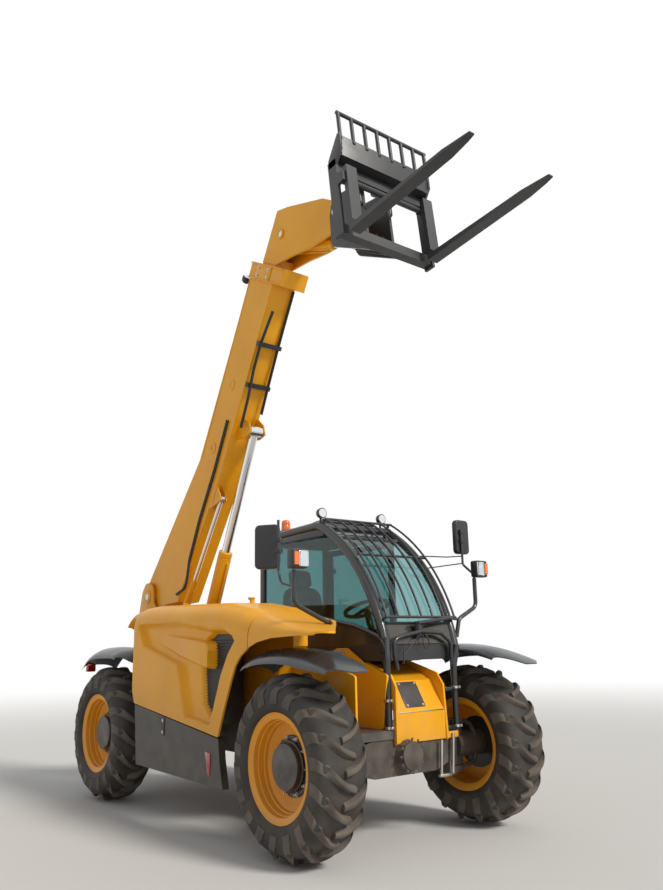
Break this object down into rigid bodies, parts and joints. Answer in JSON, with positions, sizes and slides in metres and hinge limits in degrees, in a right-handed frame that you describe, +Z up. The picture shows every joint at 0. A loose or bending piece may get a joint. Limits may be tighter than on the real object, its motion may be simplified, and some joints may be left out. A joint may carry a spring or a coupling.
{
  "type": "telehandler",
  "caption": "Telehandler with a two-stage boom, pallet forks, offset cab, side engine pod and four steered wheels.",
  "frame": {"origin": "on the ground, under the middle of the whole machine", "axes": "+X forward, +Y to the left of the machine, +Z up"},
  "size_m": [5.4426, 2.135, 5.3491],
  "materials": {
    "yellow_paint": "semi-gloss yellow enamel, dusty and worn at the edges",
    "rim_paint": "yellow rim enamel with mud in the dish",
    "charcoal_paint": "satin charcoal paint, scuffed",
    "cab_paint": "satin black paint",
    "cast_weight": "painted casting",
    "cast_block": "oily grey casting",
    "tyre_rubber": "black rubber with dried mud",
    "black_plastic": "black moulded plastic",
    "window_glass": "lightly tinted safety glass",
    "seat_vinyl": "black vinyl",
    "chrome_rod": "hard chrome",
    "lamp_lens": "clear lamp lens over a bright reflector",
    "amber_lens": "amber lens",
    "red_lens": "red lens"
  },
  "bodies": {
    "chassis": {"chassis_frame": "charcoal_paint", "boom_bay": "yellow_paint", "counterweight": "cast_weight", "front_axle": "charcoal_paint", "rear_axle": "charcoal_paint", "nose": "yellow_paint", "nose_cover": "cab_paint", "engine_block": "cast_block", "engine_pod": "yellow_paint", "side_skirt": "charcoal_paint", "front_shelf": "yellow_paint", "mudguards": "black_plastic", "cab_base": "cab_paint", "cab_frame": "cab_paint", "cab_roof": "cab_paint", "cab_glass": "window_glass", "screen_guard": "charcoal_paint", "seat": "seat_vinyl", "steering_column": "black_plastic", "front_tubes": "cab_paint", "lamp_arms": "cab_paint", "head_lamps": "lamp_lens", "mirrors": "black_plastic", "work_lamps": "lamp_lens", "beacon": "amber_lens", "tail_lamps": "red_lens", "left_tank": "yellow_paint", "steps": "charcoal_paint"},
    "boom": {"boom_outer": "yellow_paint", "boom_collar": "yellow_paint"},
    "fly": {"boom_fly": "yellow_paint"},
    "carriage": {"carriage_frame": "charcoal_paint", "load_guard": "charcoal_paint", "forks": "charcoal_paint"},
    "lift_barrel": {"lift_barrel": "yellow_paint"},
    "lift_rod": {"lift_rod": "chrome_rod"},
    "level_barrel": {"level_barrel": "yellow_paint"},
    "level_rod": {"level_rod": "chrome_rod"},
    "tilt_barrel": {"tilt_barrel": "yellow_paint"},
    "tilt_rod": {"tilt_rod": "chrome_rod"},
    "cover": {"engine_cover": "yellow_paint", "cover_vent": "black_plastic"},
    "door": {"door_frame": "cab_paint", "door_glass": "window_glass"},
    "knuckle_front_left": {"knuckle_front_left": "charcoal_paint"},
    "wheel_front_left": {"tyre_front_left": "tyre_rubber", "rim_front_left": "rim_paint"},
    "knuckle_front_right": {"knuckle_front_right": "charcoal_paint"},
    "wheel_front_right": {"tyre_front_right": "tyre_rubber", "rim_front_right": "rim_paint"},
    "knuckle_rear_left": {"knuckle_rear_left": "charcoal_paint"},
    "wheel_rear_left": {"tyre_rear_left": "tyre_rubber", "rim_rear_left": "rim_paint"},
    "knuckle_rear_right": {"knuckle_rear_right": "charcoal_paint"},
    "wheel_rear_right": {"tyre_rear_right": "tyre_rubber", "rim_rear_right": "rim_paint"}
  },
  "joints": [
    {"name": "boom_lift", "type": "hinge", "parent": "chassis", "child": "boom", "pos_m": [-2.17789, -0.3, 1.8585], "axis": [0, -1, 0], "range_deg": [-58.9, 6.6]},
    {"name": "boom_extend", "type": "slide", "parent": "boom", "child": "fly", "axis": [0.4787, 0, 0.878], "range_m": [0, 1.7]},
    {"name": "carriage_tilt", "type": "hinge", "parent": "fly", "child": "carriage", "pos_m": [1.02781, -0.3, 4.80099], "axis": [0, 1, 0], "range_deg": [-62, 35]},
    {"name": "lift_swing", "type": "hinge", "parent": "chassis", "child": "lift_barrel", "pos_m": [-1.47129, -0.27, 1.05], "axis": [0, -1, 0], "range_deg": [-59.64, 6.68]},
    {"name": "lift_stroke", "type": "slide", "parent": "lift_barrel", "child": "lift_rod", "axis": [0.4159, 0, 0.9094], "range_m": [-1.05441, 0.11824]},
    {"name": "level_swing", "type": "hinge", "parent": "chassis", "child": "level_barrel", "pos_m": [-1.83129, -0.384, 1.22], "axis": [0, -1, 0], "range_deg": [-56.69, 6.35]},
    {"name": "level_stroke", "type": "slide", "parent": "level_barrel", "child": "level_rod", "axis": [0.5603, 0, 0.8283], "range_m": [-0.648, 0.0727]},
    {"name": "tilt_swing", "type": "hinge", "parent": "fly", "child": "tilt_barrel", "pos_m": [0.21104, -0.3, 4.86134], "axis": [0, -1, 0], "range_deg": [-4.36, 7.73]},
    {"name": "tilt_stroke", "type": "slide", "parent": "tilt_barrel", "child": "tilt_rod", "axis": [0.9357, 0, -0.3528], "range_m": [-0.10236, 0.18125]},
    {"name": "cab_door", "type": "hinge", "parent": "chassis", "child": "door", "pos_m": [-0.51129, 0.664, 1.5], "axis": [0, 0, 1], "range_deg": [0, 80]},
    {"name": "engine_cover_lid", "type": "hinge", "parent": "chassis", "child": "cover", "pos_m": [-0.67129, -0.598, 1.73], "axis": [-1, 0, 0], "range_deg": [0, 60]},
    {"name": "steer_front_left", "type": "hinge", "parent": "chassis", "child": "knuckle_front_left", "pos_m": [1.02871, 0.6, 0.59], "axis": [0, 0, 1], "range_deg": [-30, 30]},
    {"name": "roll_front_left", "type": "hinge", "parent": "knuckle_front_left", "child": "wheel_front_left", "pos_m": [1.02871, 0.872, 0.59], "axis": [0, 1, 0], "continuous": true},
    {"name": "steer_front_right", "type": "hinge", "parent": "chassis", "child": "knuckle_front_right", "pos_m": [1.02871, -0.6, 0.59], "axis": [0, 0, 1], "range_deg": [-30, 30]},
    {"name": "roll_front_right", "type": "hinge", "parent": "knuckle_front_right", "child": "wheel_front_right", "pos_m": [1.02871, -0.872, 0.59], "axis": [0, 1, 0], "continuous": true},
    {"name": "steer_rear_left", "type": "hinge", "parent": "chassis", "child": "knuckle_rear_left", "pos_m": [-1.94129, 0.6, 0.59], "axis": [0, 0, 1], "range_deg": [-30, 30]},
    {"name": "roll_rear_left", "type": "hinge", "parent": "knuckle_rear_left", "child": "wheel_rear_left", "pos_m": [-1.94129, 0.872, 0.59], "axis": [0, 1, 0], "continuous": true},
    {"name": "steer_rear_right", "type": "hinge", "parent": "chassis", "child": "knuckle_rear_right", "pos_m": [-1.94129, -0.6, 0.59], "axis": [0, 0, 1], "range_deg": [-30, 30]},
    {"name": "roll_rear_right", "type": "hinge", "parent": "knuckle_rear_right", "child": "wheel_rear_right", "pos_m": [-1.94129, -0.872, 0.59], "axis": [0, 1, 0], "continuous": true}
  ],
  "couplings": [
    {"joint": "lift_swing", "follows": "boom_lift", "ratio": 1.0125},
    {"joint": "lift_stroke", "follows": "boom_lift", "m_per_rad": 1.0256},
    {"joint": "level_swing", "follows": "boom_lift", "ratio": 0.9625},
    {"joint": "level_stroke", "follows": "boom_lift", "m_per_rad": 0.63025},
    {"joint": "tilt_swing", "follows": "carriage_tilt", "ratio": -0.12461},
    {"joint": "tilt_stroke", "follows": "carriage_tilt", "m_per_rad": -0.16741},
    {"joint": "steer_front_right", "follows": "steer_front_left", "ratio": 1},
    {"joint": "steer_rear_left", "follows": "steer_front_left", "ratio": -1},
    {"joint": "steer_rear_right", "follows": "steer_front_left", "ratio": -1}
  ]
}
